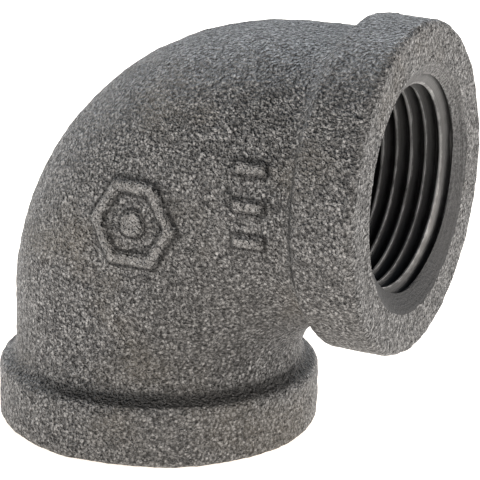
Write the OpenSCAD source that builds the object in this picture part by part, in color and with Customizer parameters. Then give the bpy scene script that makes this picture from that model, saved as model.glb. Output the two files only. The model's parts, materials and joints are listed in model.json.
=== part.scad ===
// Banded 90 degree elbow for threaded pipe: one iron casting, tapped at both ends.
// Origin: centre of the lower outlet's end face. +Z runs up the lower outlet's axis,
// and the side outlet opens along +X.

/* [Elbow] */
// Distance from the crossing of the two axes to each end face
centre_to_end = 33.3; // [33.3:0.1:36]
// Radius of the bend's centreline
bend_r = 17.9; // [17.9:0.1:19]
// Radius along the inside of the bend, where a web of metal fills the corner
crotch_r = 7; // [5:0.1:8]
// Outside diameter of the bend and the necks
body_d = 34.8; // [34:0.1:34.8]
// Inside diameter of the waterway between the two threads
waterway_d = 27; // [26.7:0.1:28]

/* [Bands] */
// Outside diameter of the band round each outlet
band_d = 39; // [38:0.1:40]
// Width of each band, up to where its shoulder starts
band_w = 7.4; // [6:0.1:8]
// Angle between the shoulder and the outlet's axis, in degrees
shoulder_slope = 65; // [45:1:75]
// Radius along the band's outer rim
rim_r = 1; // [0.6:0.1:2]
// Radius where the shoulder leaves the band
crown_r = 1.2; // [0.5:0.1:2]
// Radius where the shoulder meets the neck
fillet_r = 2; // [0.5:0.1:2]

/* [Pipe threads] */
// Pitch diameter of the taper thread at the end face
thread_pitch_d = 25.12; // [24.9:0.01:25.3]
// Distance from one crest to the next
thread_pitch = 1.814; // [1.6:0.001:1.9]
// Number of whole turns in each outlet
thread_turns = 6; // [3:1:6]
// Width of the flat on each crest and root
thread_land = 0.18; // [0.1:0.01:0.3]
// Diameter of the machined chamfer at the end face
chamfer_d = 29.4; // [28:0.1:30]
// Depth of the machined chamfer
chamfer_depth = 1.65; // [1:0.05:1.8]
// Length of the cone that joins the last turn to the waterway
runout_l = 1; // [0.8:0.1:1.2]

/* [Raised cast marks] */
// Height of the marks above the surface
mark_h = 0.5; // [0.3:0.1:0.5]
// Width of the hexagonal ring across its corners
hex_w = 11.2; // [8:0.1:12]
// Width of the line that forms the ring
hex_line = 1.3; // [0.8:0.1:1.8]
// Diameter of the round stud inside the ring
stud_d = 3; // [2:0.1:4]
// Number of short bars beside the ring
bar_count = 3; // [1:1:4]
// Length of each short bar
bar_l = 3.6; // [2.5:0.1:3.8]
// Width of each short bar
bar_w = 1.3; // [0.8:0.1:1.8]

/* [Hidden] */
$fn = 96;

body_r = body_d / 2;
band_r = band_d / 2;
waterway_r = waterway_d / 2;
neck_l = centre_to_end - bend_r;
// How far a cutter reaches past the face that it opens
past = 1;
// Straight steps in each rounding of the outlet's outline
arc_steps = 8;

// Share of the shoulder that its two radii may take together. Where the band stands too little
// above the neck for them, both radii shrink alike
shoulder_share = 0.97;
half_tan = tan(shoulder_slope / 2);
radii_rise = sin(shoulder_slope) * half_tan * (crown_r + fillet_r);
radii_fit = min(1, shoulder_share * (band_r - body_r) / radii_rise);
crown = crown_r * radii_fit;
fillet = fillet_r * radii_fit;
crown_y = band_w - crown * half_tan;
fillet_y = band_w + (band_r - body_r) / tan(shoulder_slope) + fillet * half_tan;

// Thread: 60 degree form with flats, on a taper of 1 in 16 on diameter
thread_taper = 1 / 32;
thread_flank = (thread_pitch - 2 * thread_land) / 2;
thread_h = thread_flank / tan(30);
thread_end = chamfer_depth + thread_turns * thread_pitch - thread_land;
chamfer_slope = (chamfer_d / 2 - crest_r(chamfer_depth)) / chamfer_depth;

// Marks: the ring sits halfway round the bend, the bars on the side neck
hex_x = 5.4;
hex_z = 29.4;
bar_x = 19.8;
bar_z = 33.6;
bar_step = 4.2;
mark_root = 3;

iron = [0.27, 0.27, 0.26];

// Radius of the thread's crests and roots at a depth below the end face
function pitch_r(depth) = thread_pitch_d / 2 - depth * thread_taper;
function crest_r(depth) = pitch_r(depth) - thread_h / 2;
function root_r(depth) = pitch_r(depth) + thread_h / 2;

// One groove, from its mouth-side flank to the start of the next crest, as [radius, depth] points
function groove_points(start) = let(root = root_r(start + thread_pitch / 2)) [
        [root, start + thread_flank],
        [root, start + thread_flank + thread_land],
        [crest_r(start + thread_pitch), start + thread_pitch - thread_land]
    ];

// The far edge of the flat crest that follows a groove
function crest_point(start) = [crest_r(start + thread_pitch), start + thread_pitch];

// All grooves and flat crests. The last crest has no flat: the run-out cone cuts it away
function thread_points() = [
    for (k = [0 : thread_turns - 1])
        let(start = chamfer_depth + k * thread_pitch, last = k == thread_turns - 1)
            each concat(groove_points(start), last ? [] : [crest_point(start)])
];

// Points along an arc, from one angle to the other
function arc(centre, r, from, to) = [
    for (k = [0 : arc_steps])
        let(angle = from + (to - from) * k / arc_steps)
            centre + r * [cos(angle), sin(angle)]
];

// Outside of one outlet: x is the radius, y the depth below the end face
module outlet_profile() {
    polygon(concat(
        [[0, 0]],
        arc([band_r - rim_r, rim_r], rim_r, -90, 0),
        arc([band_r - crown, crown_y], crown, 0, shoulder_slope),
        arc([body_r + fillet, fillet_y], fillet, 180 + shoulder_slope, 180),
        [[body_r, neck_l], [0, neck_l]]
    ));
}

// Chamfer, thread and run-out of one outlet, down to where the bend starts
module bore_profile() {
    polygon(concat(
        [
            [0, -past],
            [chamfer_d / 2 + past * chamfer_slope, -past],
            [crest_r(chamfer_depth), chamfer_depth]
        ],
        thread_points(),
        [
            [waterway_r, thread_end + runout_l],
            [waterway_r, neck_l],
            [0, neck_l]
        ]
    ));
}

// Stands its children on the side outlet, with depth running back along -X
module at_side_outlet() {
    translate([centre_to_end, 0, centre_to_end])
        rotate([0, -90, 0])
            children();
}

// Quarter torus that joins the two necks. Its centreline touches both of their axes
module bend(tube_r, line_r = bend_r) {
    translate([line_r, 0, centre_to_end - line_r])
        rotate([90, 0, 0])
            rotate([0, 0, 90])
                rotate_extrude(angle = 90)
                    translate([line_r, 0])
                        circle(tube_r);
}

// Raises a flat outline to mark_h above the near flank, from inside the wall
module raise_on_flank() {
    translate([0, mark_root - body_r, 0])
        rotate([90, 0, 0])
            linear_extrude(mark_root + mark_h + past)
                children();
}

module hexagon_mark() {
    intersection() {
        bend(body_r + mark_h);
        raise_on_flank()
            translate([hex_x, hex_z]) {
                difference() {
                    circle(d = hex_w, $fn = 6);
                    circle(d = hex_w - 2 * hex_line / cos(30), $fn = 6);
                }
                circle(d = stud_d);
            }
    }
}

module bar_marks() {
    intersection() {
        at_side_outlet()
            cylinder(r = body_r + mark_h, h = neck_l);
        raise_on_flank()
            for (k = [0 : bar_count - 1])
                translate([bar_x, bar_z + (k - (bar_count - 1) / 2) * bar_step])
                    square([bar_l, bar_w], center = true);
    }
}

module elbow_casting() {
    color(iron)
        difference() {
            union() {
                rotate_extrude() outlet_profile();
                at_side_outlet() rotate_extrude() outlet_profile();
                bend(body_r);
                bend(body_r, body_r + crotch_r);
                hexagon_mark();
                bar_marks();
            }
            rotate_extrude() bore_profile();
            at_side_outlet() rotate_extrude() bore_profile();
            bend(waterway_r);
        }
}

elbow_casting();
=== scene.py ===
"""Banded 90 degree pipe elbow in black cast iron: its cast skin, machined outlets, camera and light."""
import json
import math

import bpy
import numpy as np
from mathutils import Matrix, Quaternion, Vector, noise


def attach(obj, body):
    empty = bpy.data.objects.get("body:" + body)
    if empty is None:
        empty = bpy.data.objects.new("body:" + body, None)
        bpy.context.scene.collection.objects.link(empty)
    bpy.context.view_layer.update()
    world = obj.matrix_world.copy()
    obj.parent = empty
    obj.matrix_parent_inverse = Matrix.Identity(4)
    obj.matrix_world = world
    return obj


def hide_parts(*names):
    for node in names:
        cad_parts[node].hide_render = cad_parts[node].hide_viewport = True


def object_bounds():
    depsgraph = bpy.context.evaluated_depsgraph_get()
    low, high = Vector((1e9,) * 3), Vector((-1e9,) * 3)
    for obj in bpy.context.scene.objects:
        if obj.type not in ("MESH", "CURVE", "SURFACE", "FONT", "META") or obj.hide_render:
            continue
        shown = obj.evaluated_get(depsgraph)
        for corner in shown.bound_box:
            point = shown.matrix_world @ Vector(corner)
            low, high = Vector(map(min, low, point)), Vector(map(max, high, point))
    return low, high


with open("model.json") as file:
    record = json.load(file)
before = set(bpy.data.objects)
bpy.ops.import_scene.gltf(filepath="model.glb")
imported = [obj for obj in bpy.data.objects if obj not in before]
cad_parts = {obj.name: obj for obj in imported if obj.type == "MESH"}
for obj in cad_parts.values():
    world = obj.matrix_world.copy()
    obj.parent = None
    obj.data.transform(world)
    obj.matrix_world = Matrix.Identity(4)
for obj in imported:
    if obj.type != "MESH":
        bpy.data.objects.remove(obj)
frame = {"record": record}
cad_low, cad_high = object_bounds()

# ---------------------------------------------------------------- sizes, in metres
MM = 0.001
MOUNTS = {mount["name"]: mount for mount in frame["record"]["mounts"]}

# from the frame
END = cad_high.x                                        # crossing of the axes to an end face
BAND_R = cad_high.y
CREST_R = MOUNTS["lower_outlet"]["dims"]["r_mm"] * MM   # thread's crest, at CREST_DEPTH
CREST_DEPTH = MOUNTS["lower_outlet"]["pos_m"][2]

# as in the CAD model's source
BODY_R = 17.4 * MM
BEND_R = 17.9 * MM
WATERWAY_R = 13.5 * MM
BAND_W = 7.4 * MM
SHOULDER_SLOPE = 65.0
RIM_R = 1.0 * MM
CROWN_R = 1.2 * MM
FILLET_R = 2.0 * MM
CROTCH_R = 7.0 * MM      # along the inside of the bend
CHAMFER_R = 14.7 * MM
CHAMFER_DEPTH = 1.65 * MM
PITCH = 1.814 * MM
TAPER = 1 / 32
THREAD_LAND = 0.18 * MM
THREAD_TURNS = 6
RUNOUT_L = 1.0 * MM

NECK_L = END - BEND_R
BEND_L = BEND_R * math.pi / 2
PATH_L = 2 * NECK_L + BEND_L
THREAD_END = CHAMFER_DEPTH + THREAD_TURNS * PITCH - THREAD_LAND
THREAD_H = (PITCH / 2 - THREAD_LAND) / math.tan(math.radians(30))
# angle round each bore at which its thread starts
LOWER_START = math.radians(200)
SIDE_START = math.radians(73)

# raised marks on the near flank, as on the CAD model
MARK_H = 0.5 * MM
HEX_CENTRE = (5.4 * MM, 29.4 * MM)
HEX_APOTHEM = 4.85 * MM
HEX_LINE = 1.3 * MM
STUD_R = 1.5 * MM
BAR_CENTRE = (19.8 * MM, 33.6 * MM)
BAR_STEP = 4.2 * MM
BAR_HALF = (1.8 * MM, 0.65 * MM)
MARK_EDGE = (-0.25 * MM, 0.12 * MM)      # top and foot of a mark's side, from its outline
MARK_WOBBLE = 0.12 * MM                  # unevenness of that outline

# cast skin: rise, size and place in the noise of each layer of lumps
LUMPS = ((0.13 * MM, 9 * MM, 0.0), (0.075 * MM, 2.0 * MM, 31.0), (0.06 * MM, 0.95 * MM, 57.0))
PIT_COUNT = 110
PIT_SEED = 11
PIT_R = (0.35, 0.85)                     # in mm
PIT_LIFTS = [-0.16, -0.10, 0.10, 0.14]   # in mm
FLASH_H, FLASH_W = 0.10, 0.35            # ridge along the parting line, in mm
MISMATCH_H, MISMATCH_W = 0.04, 0.2       # step between the two halves of the mould, in mm
BAND_LOSS = 0.1 * MM                     # keeps the skin of bands and faces under the CAD size

# painted shade and dirt in a moat round each mark, and painted shade in the corner between a band's
# shoulder and the neck
MOAT_MIDDLE = 0.26 * MM
MOAT_W = 0.20 * MM
CREASE_BACK = 0.55 * MM
CREASE_SHARP = 0.35 * MM
CREASE_SOFT = (0.90 * MM, 0.40 * MM)     # up the lower neck, and along the side one
CREASE_SHADE_ANGLE = math.radians(150)          # side of each neck where the painted shade in that corner is darkest
CREASE_SHADE_LEAST = 0.20
CREASE_SHADE_RISE = 1.05

# mesh density
COLUMNS = 288          # round the outside; the bores have half as many
OUTLINE_STEP = 0.4 * MM
BEND_ROWS = 116
WATERWAY_ROWS = 26
MOUTH_BACK = 0.15 * MM     # from the ring at each face to the first ring of the bore
CAST, MACHINED, THREADED, BORE = range(4)     # material indices


# ---------------------------------------------------------------- path and outline
def path_frame(s):
    """Centre of the section at path length s, and the unit vector to the outside of the bend."""
    turn = np.clip((s - NECK_L) / BEND_R, 0, math.pi / 2)
    out = np.stack([-np.cos(turn), np.zeros_like(s), np.sin(turn)], axis=-1)
    hub = np.array([BEND_R, 0, NECK_L])
    centre = hub + BEND_R * out
    centre[..., 2] -= np.clip(NECK_L - s, 0, None)
    centre[..., 0] += np.clip(s - NECK_L - BEND_L, 0, None)
    return centre, out


def place(s, radius, angle):
    """Points at path length s, at a radius and an angle round the section. 90 degrees is -Y."""
    s, radius, angle = np.broadcast_arrays(s, radius, angle)
    centre, out = path_frame(s)
    near = np.array([0, -1, 0])
    ring = np.cos(angle)[..., None] * out + np.sin(angle)[..., None] * near
    return centre + radius[..., None] * ring


def arc(centre_r, centre_d, radius, start, stop, count=16):
    """Rows of (radius, depth) along an arc, from one angle in degrees to another."""
    angle = np.radians(np.linspace(start, stop, count))
    return np.stack([centre_r + radius * np.cos(angle), centre_d + radius * np.sin(angle)], axis=1)


def outlet_outline():
    """Outside of one outlet as (radius, depth) rows, from the chamfer over the band to the neck."""
    half = math.tan(math.radians(SHOULDER_SLOPE / 2))
    drop = (BAND_R - BODY_R) / math.tan(math.radians(SHOULDER_SLOPE))
    fillet_d = BAND_W + drop + FILLET_R * half
    corners = np.concatenate([
        [[CHAMFER_R, 0]],
        arc(BAND_R - RIM_R, RIM_R, RIM_R, -90, 0),
        arc(BAND_R - CROWN_R, BAND_W - CROWN_R * half, CROWN_R, 0, SHOULDER_SLOPE),
        arc(BODY_R + FILLET_R, fillet_d, FILLET_R, 180 + SHOULDER_SLOPE, 180),
        [[BODY_R, NECK_L]],
    ])
    run = np.concatenate([[0], np.cumsum(np.hypot(*np.diff(corners, axis=0).T))])
    even = np.linspace(0, run[-1], round(run[-1] / OUTLINE_STEP) + 1)
    return np.stack([np.interp(even, run, corners[:, 0]), np.interp(even, run, corners[:, 1])], axis=1)


def column_angles():
    """Angles of the columns, closer together across the marked flank and along the parting lines."""
    angle = np.linspace(0, 2 * math.pi, 1441)
    flank = np.exp(-((angle - math.pi / 2) / math.radians(36)) ** 4)
    parting = sum(np.exp(-((angle - at) / math.radians(5)) ** 2) for at in (0, math.pi, 2 * math.pi))
    total = np.cumsum(1 + 1.1 * flank + 1.2 * parting)
    total = (total - total[0]) / (total[-1] - total[0])
    return np.interp(np.arange(COLUMNS) / COLUMNS, total, angle)


# ---------------------------------------------------------------- cast skin
def fractal(points, size, octaves, shift=0.0):
    """Smooth noise of about +-1 whose largest features are size metres across."""
    scaled = points.reshape(-1, 3) / size + shift
    values = [noise.fractal(Vector(p), 1.0, 2.0, octaves) for p in scaled]
    return np.array(values).reshape(points.shape[:-1])


def smooth_step(low, high, value):
    """Rises smoothly from 0 where the value is low to 1 where it is high."""
    t = np.clip((value - low) / (high - low), 0, 1)
    return t * t * (3 - 2 * t)


def mark_distance(points):
    """Distance from the nearest raised mark, seen from the near side. It is negative inside a mark."""
    x, z = points[..., 0], points[..., 2]
    dx, dz = np.abs(x - HEX_CENTRE[0]), np.abs(z - HEX_CENTRE[1])
    hexagon = np.maximum(dz, dz / 2 + dx * math.cos(math.radians(30)))
    ring = np.abs(hexagon - HEX_APOTHEM + HEX_LINE / 2) - HEX_LINE / 2
    stud = np.hypot(dx, dz) - STUD_R
    nearest = np.minimum(ring, stud)
    for step in (-1, 0, 1):
        bar_x = np.abs(x - BAR_CENTRE[0]) - BAR_HALF[0]
        bar_z = np.abs(z - BAR_CENTRE[1] - step * BAR_STEP) - BAR_HALF[1]
        nearest = np.minimum(nearest, np.maximum(bar_x, bar_z))
    return np.where(points[..., 1] < 0, nearest, 1.0)


def pits_and_nodules(points):
    """Small sand pits and iron nodules scattered over the skin."""
    rng = np.random.default_rng(PIT_SEED)
    flat = points.reshape(-1, 3)
    height = np.zeros(len(flat))
    for _ in range(PIT_COUNT):
        centre = flat[rng.integers(len(flat))]
        radius = rng.uniform(*PIT_R) * MM
        lift = rng.choice(PIT_LIFTS) * MM
        away = np.linalg.norm(flat - centre, axis=1)
        height += lift * np.exp(-(away / radius * 1.6) ** 2)
    return height.reshape(points.shape[:-1])


def skin_height(points, off_band):
    """Height of the cast skin over its nominal surface. off_band is 0 on a band and 1 between them."""
    height = sum(rise * fractal(points, size, 2, shift) for rise, size, shift in LUMPS)
    height += pits_and_nodules(points)
    side = points[..., 1] / MM
    flash = FLASH_H * np.exp(-(side / FLASH_W) ** 2) + MISMATCH_H * np.tanh(side / MISMATCH_W)
    height += MM * flash * off_band * (0.7 + 0.5 * fractal(points, 5 * MM, 2, 83.0))
    # the rows are too close together on the inside of the bend for a rough skin
    hub_distance = np.hypot(points[..., 0] - BEND_R, points[..., 2] - NECK_L)
    return height * smooth_step(1.5 * MM, 4 * MM, hub_distance)


def outer_rows():
    """Path length, radius, off_band and crease of every row, from the lower face to the side one."""
    lower = outlet_outline()
    side = lower[::-1]
    bend = NECK_L + BEND_L * np.arange(1, BEND_ROWS) / BEND_ROWS
    s = np.concatenate([lower[:, 1], bend, PATH_L - side[:, 1]])
    radius = np.concatenate([lower[:, 0], np.full(BEND_ROWS - 1, BODY_R), side[:, 0]])
    depth = np.minimum(s, PATH_L - s)
    off_band = smooth_step(BAND_W, BAND_W + FILLET_R, depth)
    past = depth - BAND_W - CREASE_BACK
    soft = np.where(s < PATH_L / 2, *CREASE_SOFT)
    crease = np.exp(-(past / np.where(past < 0, CREASE_SHARP, soft)) ** 2)
    return s, radius, off_band, crease


def fill_crotch(points):
    """Moves points out to a wider bend of the same tube, which rounds the inside of the elbow."""
    wide_r = BODY_R + CROTCH_R
    x, y, z = np.moveaxis(points, -1, 0)
    dx, dz = x - wide_r, z - (END - wide_r)
    reach = np.hypot(dx, dz)
    depth = np.hypot(reach - wide_r, y)
    on_quarter = (dx < 0) & (dz > 0)
    grow = np.where(on_quarter, np.maximum(1, BODY_R / np.maximum(depth, MM)), 1)
    share = (wide_r + (reach - wide_r) * grow) / np.maximum(reach, MM)
    return np.stack([wide_r + dx * share, y * grow, END - wide_r + dz * share], axis=-1)


def grid_normals(grid):
    """Unit normals of a grid of points whose rows close on themselves."""
    along = np.gradient(grid, axis=0)
    around = np.roll(grid, -1, axis=1) - np.roll(grid, 1, axis=1)
    normal = np.cross(around, along)
    return normal / np.linalg.norm(normal, axis=-1, keepdims=True)


def painted_shade_and_dirt(distance, crease, angles):
    """Share of painted shade, up to 1: painted shade and dirt in a moat round each mark, and painted
    shade in the crease beside each band, darkest on one side of each neck.
    """
    moat = np.exp(-((distance - MOAT_MIDDLE) / MOAT_W) ** 2)
    # painted shade in the crease, stronger round one side of each neck
    crease_shade = CREASE_SHADE_LEAST + CREASE_SHADE_RISE * smooth_step(-0.2, 0.8, np.cos(angles - CREASE_SHADE_ANGLE))
    return np.minimum(1, np.maximum(moat, crease[:, None] * crease_shade))


def outer_skin(angles):
    """The outside as a grid of points, with its relief: 1 on a mark, and -1 in a hollow painted dark as
    shade and dirt.
    """
    s, radius, off_band, crease = outer_rows()
    nominal = fill_crotch(place(s[:, None], radius[:, None], angles[None, :]))
    height = skin_height(nominal, off_band[:, None]) - (1 - off_band[:, None]) * BAND_LOSS
    wobble = MARK_WOBBLE * fractal(nominal, 1.2 * MM, 1, 9.0)
    distance = mark_distance(nominal + wobble[..., None])
    raised = 1 - smooth_step(*MARK_EDGE, distance)
    skin = nominal + grid_normals(nominal) * (height + MARK_H * raised)[..., None]
    # the first and last rows stay on the chamfer's cone, at the depth of the face there
    for row, end in ((0, 0.0), (-1, PATH_L)):
        depth = np.clip(-height[row], 0, 0.5 * MM)
        skin[row] = place(np.abs(end - depth), chamfer_radius(depth), angles)
    return np.clip(skin, cad_low, cad_high), raised - painted_shade_and_dirt(distance, crease, angles)


# ---------------------------------------------------------------- threads
def crest_radius(depth):
    """Radius of the thread's crests, on their taper."""
    return CREST_R - (depth - CREST_DEPTH) * TAPER


def chamfer_radius(depth):
    """Radius of the chamfer's cone. Past CHAMFER_DEPTH it is smaller than the crest's."""
    slope = (CHAMFER_R - crest_radius(CHAMFER_DEPTH)) / CHAMFER_DEPTH
    return CHAMFER_R - depth * slope


def runout_radius(depth):
    """Radius of the cone that joins the last turn to the waterway."""
    slope = (WATERWAY_R - crest_radius(THREAD_END)) / RUNOUT_L
    return crest_radius(THREAD_END) + (depth - THREAD_END) * slope


def thread_rise(phase):
    """Depth of the thread's groove. Phase 0 is the middle of a crest, and 0.5 that of a root."""
    away = np.abs((phase + 0.5) % 1 - 0.5) * PITCH - THREAD_LAND / 2
    flank = PITCH / 2 - THREAD_LAND
    return THREAD_H * np.clip(away / flank, 0, 1)


def thread_phases():
    """Phases of the rows in one turn: the edges of crest and root, and the flanks between."""
    edge = THREAD_LAND / PITCH / 2
    flank = np.linspace(edge, 0.5 - edge, 6)
    return np.concatenate([flank, 1 - flank[::-1]])


def thread_grid(angles, mouth, hand, start_angle):
    """Depth and radius of every point of one outlet's bore, in rows along the right-hand helix.

    mouth is the depth at which each column starts. hand is 1 where depth grows with the angle.
    """
    phases = thread_phases()
    turns = math.ceil((THREAD_END + RUNOUT_L) / PITCH) + 2
    rows = (np.arange(-1, turns)[:, None] + phases[None, :]).ravel()
    lead = hand * (angles - start_angle) / (2 * math.pi)
    first = CHAMFER_DEPTH / PITCH
    depth = PITCH * (rows[:, None] + lead[None, :] + first - 1)
    # the row nearest the chamfer's inner edge moves onto it
    nearest = np.argmin(np.abs(depth - CHAMFER_DEPTH), axis=0)
    depth[nearest, np.arange(len(angles))] = CHAMFER_DEPTH
    depth = np.clip(depth, mouth[None, :], THREAD_END + RUNOUT_L)
    phase = depth / PITCH - lead[None, :] - first
    radius = crest_radius(depth) + thread_rise(phase)
    radius = np.maximum(radius, chamfer_radius(depth))
    radius = np.maximum(radius, runout_radius(depth))
    return depth, radius, len(phases)


# ---------------------------------------------------------------- mesh
class MeshBuilder:
    """Collects grids of points and faces, then welds them into one closed mesh."""

    def __init__(self):
        self.points, self.values, self.faces, self.kinds, self.count = [], [], [], [], 0

    def add_points(self, points, value):
        """Adds a grid of points with a value each, and gives the grid of their numbers."""
        flat = points.reshape(-1, 3)
        self.points.append(flat)
        self.values.append(np.broadcast_to(value, points.shape[:-1]).ravel())
        index = self.count + np.arange(len(flat)).reshape(points.shape[:-1])
        self.count += len(flat)
        return index

    def add_quads(self, low_left, low_right, high_right, high_left, kind):
        quads = np.stack([low_left, low_right, high_right, high_left], axis=-1).reshape(-1, 4)
        self.faces.append(quads)
        self.kinds.append(np.broadcast_to(kind, low_left.shape).ravel())

    def add_rings(self, index, kind):
        """Quads between the rows of a grid that closes on itself."""
        right = np.roll(index, -1, axis=1)
        self.add_quads(index[:-1], right[:-1], right[1:], index[1:], kind)

    def add_halving(self, fine, coarse, kind, flip):
        """Triangles between a ring of points and one with half as many."""
        even, odd = fine[0::2], fine[1::2]
        next_even, next_coarse = np.roll(even, -1), np.roll(coarse, -1)
        for a, b, c in ((even, odd, coarse), (odd, next_coarse, coarse), (odd, next_even, next_coarse)):
            first, second = (b, a) if flip else (a, b)
            self.add_quads(first, second, c, c, kind)

    def welded(self):
        """Points, values, faces and material indices, with the points that share a place joined."""
        points = np.concatenate(self.points)
        faces = np.concatenate(self.faces)
        kinds = np.concatenate(self.kinds)
        values = np.concatenate(self.values)
        keys = np.round(points / (1e-4 * MM)).astype(np.int64)
        _, first, same = np.unique(keys, axis=0, return_index=True, return_inverse=True)
        faces = same.reshape(-1)[faces]
        return points[first], values[first], faces, kinds


def add_outlet_bore(build, angles, face_depth, at_side, start_angle, fine_index):
    """Chamfer and thread of one outlet, joined to the ring of points at its face."""
    mouth = face_depth[0::2] + MOUTH_BACK
    coarse = angles[0::2]
    depth, radius, per_turn = thread_grid(coarse, mouth, -1 if at_side else 1, start_angle)
    points = place(PATH_L - depth if at_side else depth, radius, coarse[None, :])
    groove = (radius - crest_radius(depth)) / THREAD_H
    index = build.add_points(points, groove)
    middle = (depth[:-1] + depth[1:]) / 2
    on_cone = (middle < CHAMFER_DEPTH) & (np.abs(radius[:-1] - chamfer_radius(depth[:-1])) < 0.02 * MM)
    kind = np.where(on_cone, MACHINED, np.where(middle > THREAD_END, BORE, THREADED))
    shift = -per_turn if at_side else per_turn
    left, right = index, np.roll(index, -1, axis=1)
    right[:, -1] = np.roll(index[:, 0], -shift)
    # the helix joins the last column to rows further on. Past the grid's ends they are all
    # clipped onto its first or last ring
    if shift > 0:
        right[-shift:, -1] = index[-1, 0]
    else:
        right[:-shift, -1] = index[0, 0]
    corners = (left[:-1], right[:-1], right[1:], left[1:])
    build.add_quads(*(corners if at_side else corners[::-1]), kind)
    build.add_halving(fine_index, index[0], MACHINED, flip=not at_side)


def build_elbow():
    """The casting's visible surface, inside and out, as one closed mesh."""
    angles = column_angles()
    build = MeshBuilder()
    skin, raised = outer_skin(angles)
    outside = build.add_points(skin, raised)
    build.add_rings(outside, CAST)
    add_outlet_bore(build, angles, skin[0, :, 2], False, LOWER_START, outside[0])
    add_outlet_bore(build, angles, END - skin[-1, :, 0], True, SIDE_START, outside[-1])
    add_waterway(build, angles[0::2])

    points, values, faces, kinds = build.welded()
    mesh = bpy.data.meshes.new("elbow_casting_skin")
    fill_mesh(mesh, points, faces, kinds)
    add_attribute(mesh, "relief", values)
    add_attribute(mesh, "turned_radius", turned_radius(points))
    elbow = bpy.data.objects.new("elbow_casting_skin", mesh)
    bpy.context.scene.collection.objects.link(elbow)
    return elbow


def add_waterway(build, coarse):
    """As-cast wall of the passage between the two threads."""
    start = THREAD_END + RUNOUT_L
    s = np.linspace(start, PATH_L - start, WATERWAY_ROWS)
    wall = place(s[:, None], WATERWAY_R, coarse[None, :])
    centre, _ = path_frame(s)
    inward = centre[:, None, :] - wall
    inward /= np.linalg.norm(inward, axis=-1, keepdims=True)
    fade = smooth_step(0, 1.5 * MM, np.minimum(s - s[0], s[-1] - s))[:, None]
    rough = 0.22 * MM * fractal(wall, 4 * MM, 3, 17.0) * fade
    waterway = build.add_points(wall + inward * rough[..., None], 0.0)
    build.add_rings(waterway[:, ::-1], BORE)


def turned_radius(points):
    """Distance of each point from its outlet's axis. It is the same all along a tool's ring."""
    lower = np.hypot(points[:, 0], points[:, 1])
    side = np.hypot(points[:, 1], points[:, 2] - END)
    return np.where(points[:, 2] < NECK_L, lower, side)


def add_attribute(mesh, name, values):
    attribute = mesh.attributes.new(name, "FLOAT", "POINT")
    attribute.data.foreach_set("value", values.astype(np.float32))


def fill_mesh(mesh, points, faces, kinds):
    """Fills a mesh, dropping the corners that the weld joined and the faces that it emptied."""
    polygons, materials = [], []
    for face, kind in zip(faces.tolist(), kinds.tolist()):
        corners = [c for k, c in enumerate(face) if c != face[k - 1]]
        if len(corners) > 2 and len(set(corners)) == len(corners):
            polygons.append(corners)
            materials.append(kind)
    mesh.from_pydata(points.tolist(), [], polygons)
    mesh.polygons.foreach_set("material_index", np.array(materials, np.int32))
    mesh.polygons.foreach_set("use_smooth", np.ones(len(polygons), bool))
    mesh.set_sharp_from_angle(angle=math.radians(28))
    mesh.update()


# ---------------------------------------------------------------- materials
class Nodes:
    """Short way to add shader nodes to a tree and to link them."""

    def __init__(self, tree):
        self.tree = tree
        tree.nodes.clear()

    def add(self, kind, settings=None, **inputs):
        made = self.tree.nodes.new(kind)
        for name, value in (settings or {}).items():
            setattr(made, name, value)
        for name, value in inputs.items():
            self.feed(made.inputs[name.replace("_", " ")], value)
        return made

    def feed(self, socket, value):
        if isinstance(value, bpy.types.NodeSocket):
            self.tree.links.new(value, socket)
        else:
            socket.default_value = value

    def noise(self, where, size, detail=2.0, roughness=0.5):
        """Value of a noise texture whose features are about size metres across."""
        made = self.add("ShaderNodeTexNoise", Vector=where, Scale=1 / size, Detail=detail)
        self.feed(made.inputs["Roughness"], roughness)
        return made.outputs["Fac"]

    def cells(self, where, size):
        made = self.add("ShaderNodeTexVoronoi", Vector=where, Scale=1 / size)
        return made.outputs["Distance"]

    def total(self, first, second):
        made = self.add("ShaderNodeMath", {"operation": "ADD"})
        self.feed(made.inputs[0], first)
        self.feed(made.inputs[1], second)
        return made.outputs[0]

    def spread(self, value, low, high, to_low=0.0, to_high=1.0):
        """Maps low to high onto to_low to to_high, and clamps outside them."""
        made = self.add("ShaderNodeMapRange", Value=value, From_Min=low, From_Max=high)
        self.feed(made.inputs["To Min"], to_low)
        self.feed(made.inputs["To Max"], to_high)
        return made.outputs["Result"]

    def mix(self, share, first, second):
        """The first colour where share is 0, and the second where it is 1."""
        made = self.add("ShaderNodeMix", {"data_type": "RGBA"})
        for socket, value in ((0, share), (6, first), (7, second)):
            self.feed(made.inputs[socket], value)
        return made.outputs[2]

    def bump(self, height, distance, under=None):
        """Normal over a bumpy height, on top of the normal under it."""
        made = self.add("ShaderNodeBump", Height=height, Distance=distance)
        if under is not None:
            self.feed(made.inputs["Normal"], under)
        return made.outputs["Normal"]

    def object_place(self):
        return self.add("ShaderNodeTexCoord").outputs["Object"]

    def attribute(self, name):
        return self.add("ShaderNodeAttribute", {"attribute_name": name}).outputs["Fac"]

    def surface(self, **inputs):
        shader = self.add("ShaderNodeBsdfPrincipled", **inputs)
        output = self.add("ShaderNodeOutputMaterial")
        self.tree.links.new(shader.outputs["BSDF"], output.inputs["Surface"])


def new_material(name):
    material = bpy.data.materials.new(name)
    material.use_nodes = True
    return material, Nodes(material.node_tree)


def grey(value, warmth=0.0):
    """Grey of a linear brightness. Warmth above 0 turns it redder."""
    return (value * (1 + warmth), value, value * (1 - 1.6 * warmth), 1.0)


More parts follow.
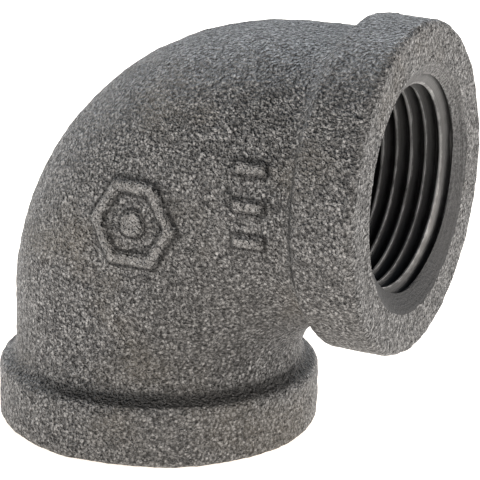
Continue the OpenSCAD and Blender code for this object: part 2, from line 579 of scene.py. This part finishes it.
def cast_skin():
    """Sand-cast iron under black oxide: light grains, black pits and faint rusty patches."""
    material, nodes = new_material("black_cast_iron")
    where = nodes.object_place()
    grain = nodes.noise(where, 0.38 * MM, 1.6, 0.60)
    sand = nodes.cells(where, 0.35 * MM)
    clump = nodes.noise(where, 1.4 * MM, 2.0, 0.5)
    patch = nodes.noise(where, 7.0 * MM, 3.0, 0.55)
    stain = nodes.noise(where, 13.0 * MM, 2.0, 0.6)
    fleck = nodes.noise(where, 0.27 * MM, 1.0)
    relief = nodes.attribute("relief")

    body = nodes.mix(nodes.spread(grain, 0.36, 0.64), grey(0.005), grey(0.30))
    body = nodes.mix(nodes.spread(sand, 0.35, 0.75, 0.0, 0.70), body, grey(0.010))
    body = nodes.mix(nodes.spread(fleck, 0.62, 0.76, 0.0, 0.7), body, grey(0.34))
    body = nodes.mix(nodes.spread(clump, 0.36, 0.58, 0.30, 0.0), body, grey(0.020))
    body = nodes.mix(nodes.spread(patch, 0.42, 0.68, 0.0, 0.15), body, grey(0.12, 0.03))
    body = nodes.mix(nodes.spread(stain, 0.56, 0.72, 0.0, 0.25), body, grey(0.10, 0.20))
    body = nodes.mix(nodes.spread(relief, 0.45, 1.0, 0.0, 0.50), body, grey(0.25, 0.01))
    # painted shade, with some dirt round the marks: the hollows round the marks and the creases beside
    # the bands go near black
    body = nodes.mix(nodes.spread(relief, -0.85, -0.05, 0.95, 0.0), body, grey(0.004))
    rough = nodes.spread(grain, 0.3, 0.7, 0.60, 0.42)

    coarse = nodes.bump(clump, 0.35 * MM)
    lumps = nodes.bump(sand, 0.30 * MM, coarse)
    fine = nodes.bump(grain, 1.2 * MM, lumps)
    nodes.surface(Base_Color=body, Roughness=rough, Normal=fine, IOR=1.5)
    return material


def machined_rings(nodes, size):
    """Fine rings left by the turning tool."""
    radius = nodes.attribute("turned_radius")
    along = nodes.add("ShaderNodeCombineXYZ", X=radius).outputs["Vector"]
    return nodes.noise(along, size, 3.0, 0.7)


def machined_chamfer():
    """Turned cone at an outlet's mouth: the tool's rings, a torn grain, and painted shade that darkens
    it lower down.
    """
    material, nodes = new_material("turned_iron")
    where = nodes.object_place()
    rings = machined_rings(nodes, 0.30 * MM)
    torn = nodes.noise(where, 0.34 * MM, 2.0, 0.6)
    tone = nodes.noise(where, 5.0 * MM, 2.0)
    height = nodes.add("ShaderNodeSeparateXYZ", Vector=where).outputs["Z"]
    # painted shade: darker and bluer lower down, with a ragged edge
    shade_height = nodes.total(height, nodes.spread(tone, 0.3, 0.7, -3 * MM, 3 * MM))
    body = nodes.mix(nodes.spread(torn, 0.36, 0.64), grey(0.010), grey(0.18))
    lower_shade = nodes.spread(shade_height, END - CHAMFER_R / 2, END + CHAMFER_R, 0.90, 0.0)
    body = nodes.mix(lower_shade, body, (0.013, 0.014, 0.016, 1.0))
    body = nodes.mix(nodes.spread(rings, 0.40, 0.56, 0.70, 0.0), body, grey(0.010))
    body = nodes.mix(nodes.spread(rings, 0.56, 0.70, 0.0, 0.35), body, grey(0.16))
    rough = nodes.spread(rings, 0.3, 0.7, 0.50, 0.62)
    normal = nodes.bump(torn, 0.12 * MM, nodes.bump(rings, 0.08 * MM))
    nodes.surface(Base_Color=body, Roughness=rough, Specular_IOR_Level=0.3, Normal=normal)
    return material


def cut_thread():
    """Oily thread: grey flanks with the tool's scratches, crests rubbed bright, and roots painted black
    as shade.
    """
    material, nodes = new_material("cut_thread_iron")
    where = nodes.object_place()
    groove = nodes.attribute("relief")
    smear = nodes.noise(where, 2.2 * MM, 4.0, 0.6)
    scratches = machined_rings(nodes, 0.12 * MM)
    wear_and_shade = nodes.total(groove, nodes.spread(smear, 0.32, 0.68, -0.14, 0.16))
    body = nodes.mix(nodes.spread(wear_and_shade, 0.0, 0.17), grey(0.30), grey(0.055))
    body = nodes.mix(nodes.spread(scratches, 0.42, 0.60, 0.65, 0.0), body, grey(0.015))
    # painted shade: the deep part of each groove goes black
    body = nodes.mix(nodes.spread(wear_and_shade, 0.62, 0.98), body, grey(0.008))
    rough = nodes.spread(smear, 0.3, 0.7, 0.36, 0.52)
    normal = nodes.bump(scratches, 0.03 * MM, nodes.bump(smear, 0.05 * MM))
    nodes.surface(Base_Color=body, Roughness=rough, Normal=normal)
    return material


def raw_bore():
    """As-cast waterway, dark with scale and a little dust."""
    material, nodes = new_material("raw_bore_iron")
    where = nodes.object_place()
    scale = nodes.noise(where, 0.8 * MM, 4.0, 0.65)
    dust = nodes.noise(where, 4.0 * MM, 3.0)
    body = nodes.mix(nodes.spread(scale, 0.35, 0.65), grey(0.012), grey(0.05, 0.04))
    body = nodes.mix(nodes.spread(dust, 0.5, 0.7, 0.0, 0.5), body, grey(0.06, 0.15))
    rough = nodes.spread(scale, 0.3, 0.7, 0.75, 0.5)
    nodes.surface(Base_Color=body, Roughness=rough, Normal=nodes.bump(scale, 0.25 * MM))
    return material


def paint(piece):
    """Gives a piece its materials, in the order of the material indices."""
    for material in (cast_skin(), machined_chamfer(), cut_thread(), raw_bore()):
        piece.data.materials.append(material)


# ---------------------------------------------------------------- studio
# camera
AZIMUTH = math.radians(25.75)
ELEVATION = math.radians(17.29)
ROLL = math.radians(1.35)
DISTANCE = 298.1 * MM
AIM_FROM_CENTRE = Vector((3.39, 0.70, -2.99)) * MM
LENS = 187.8

FLOOR_HALF = 3.0
FLOOR_GLOW = (1.0, 0.90, 0.79, 1.0)
WORLD_LOW = (0.90, 0.87, 0.83, 1.0)
WORLD_TOP = (0.14, 0.17, 0.215, 1.0)
WHITE = (1.0, 1.0, 1.0, 1.0)


def direction(azimuth, elevation):
    """Unit vector towards a place round the object. Azimuth 0 is at -Y and 90 degrees is at +X."""
    flat = math.cos(elevation)
    return Vector((math.sin(azimuth) * flat, -math.cos(azimuth) * flat, math.sin(elevation)))


def aim(thing, at, roll=0.0):
    """Turns a camera or light towards a point, then rolls it about its own view axis."""
    turn = (at - thing.location).to_track_quat("-Z", "Y")
    thing.rotation_euler = (turn @ Quaternion((0, 0, 1), roll)).to_euler()


def add_camera(centre):
    at = centre + AIM_FROM_CENTRE
    camera = bpy.data.objects.new("camera", bpy.data.cameras.new("camera"))
    camera.data.lens = LENS
    camera.data.clip_start = 10 * MM
    camera.location = at + DISTANCE * direction(AZIMUTH, ELEVATION)
    aim(camera, at, ROLL)
    bpy.context.scene.collection.objects.link(camera)
    bpy.context.scene.camera = camera


def add_softbox(name, centre, azimuth, elevation, distance, size, power, colour):
    """Rectangular light aimed at the centre. Angles are in degrees, power is in watts."""
    lamp = bpy.data.lights.new(name, "AREA")
    lamp.shape = "RECTANGLE"
    lamp.size, lamp.size_y = size
    lamp.energy = power
    lamp.color = colour
    box = bpy.data.objects.new(name, lamp)
    box.location = centre + distance * direction(math.radians(azimuth), math.radians(elevation))
    aim(box, centre)
    bpy.context.scene.collection.objects.link(box)


def add_floor():
    """Plain pale floor just under the elbow. Its own glow keeps it white and lights the underside."""
    mesh = bpy.data.meshes.new("floor")
    corners = [(x * FLOOR_HALF, y * FLOOR_HALF, 0) for x, y in ((-1, -1), (1, -1), (1, 1), (-1, 1))]
    mesh.from_pydata(corners, [], [(0, 1, 2, 3)])
    floor = bpy.data.objects.new("floor", mesh)
    floor.location.z = cad_low.z - 0.05 * MM
    material, nodes = new_material("pale_floor")
    tone = nodes.noise(nodes.object_place(), 0.4, 2.0)
    colour = nodes.mix(nodes.spread(tone, 0.3, 0.7), grey(0.90), grey(0.93))
    nodes.surface(Base_Color=colour, Roughness=0.9,
                  Emission_Color=FLOOR_GLOW, Emission_Strength=1.0)
    mesh.materials.append(material)
    bpy.context.scene.collection.objects.link(floor)


def add_world():
    """Soft light from all round, darker and bluer from above. The camera sees plain white."""
    world = bpy.data.worlds.new("studio")
    world.use_nodes = True
    nodes = Nodes(world.node_tree)
    ray = nodes.add("ShaderNodeTexCoord").outputs["Generated"]
    up = nodes.add("ShaderNodeSeparateXYZ", Vector=ray).outputs["Z"]
    glow = nodes.mix(nodes.spread(up, -0.05, 0.65), WORLD_LOW, WORLD_TOP)
    seen = nodes.add("ShaderNodeLightPath").outputs["Is Camera Ray"]
    colour = nodes.mix(seen, glow, WHITE)
    background = nodes.add("ShaderNodeBackground", Color=colour, Strength=1.0)
    output = nodes.add("ShaderNodeOutputWorld")
    nodes.tree.links.new(background.outputs["Background"], output.inputs["Surface"])
    bpy.context.scene.world = world


def add_studio():
    centre = (cad_low + cad_high) / 2
    add_camera(centre)
    add_softbox("left_softbox", centre, -65, 8, 0.8, (0.6, 0.4), 2.4, (0.88, 0.94, 1.0))
    add_softbox("right_softbox", centre, 105, 5, 0.8, (0.6, 0.5), 10.8, (1.0, 0.94, 0.88))
    add_softbox("front_fill", centre, -22, 5, 0.9, (0.7, 0.3), 8.8, (1.0, 0.90, 0.80))
    add_softbox("rear_light", centre, 212, 36, 0.9, (0.8, 0.4), 7.0, (0.88, 0.94, 1.0))
    add_floor()
    add_world()
    bpy.context.scene.view_settings.view_transform = "Standard"


elbow = build_elbow()
paint(elbow)
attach(elbow, "root")
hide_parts("elbow_casting")
add_studio()
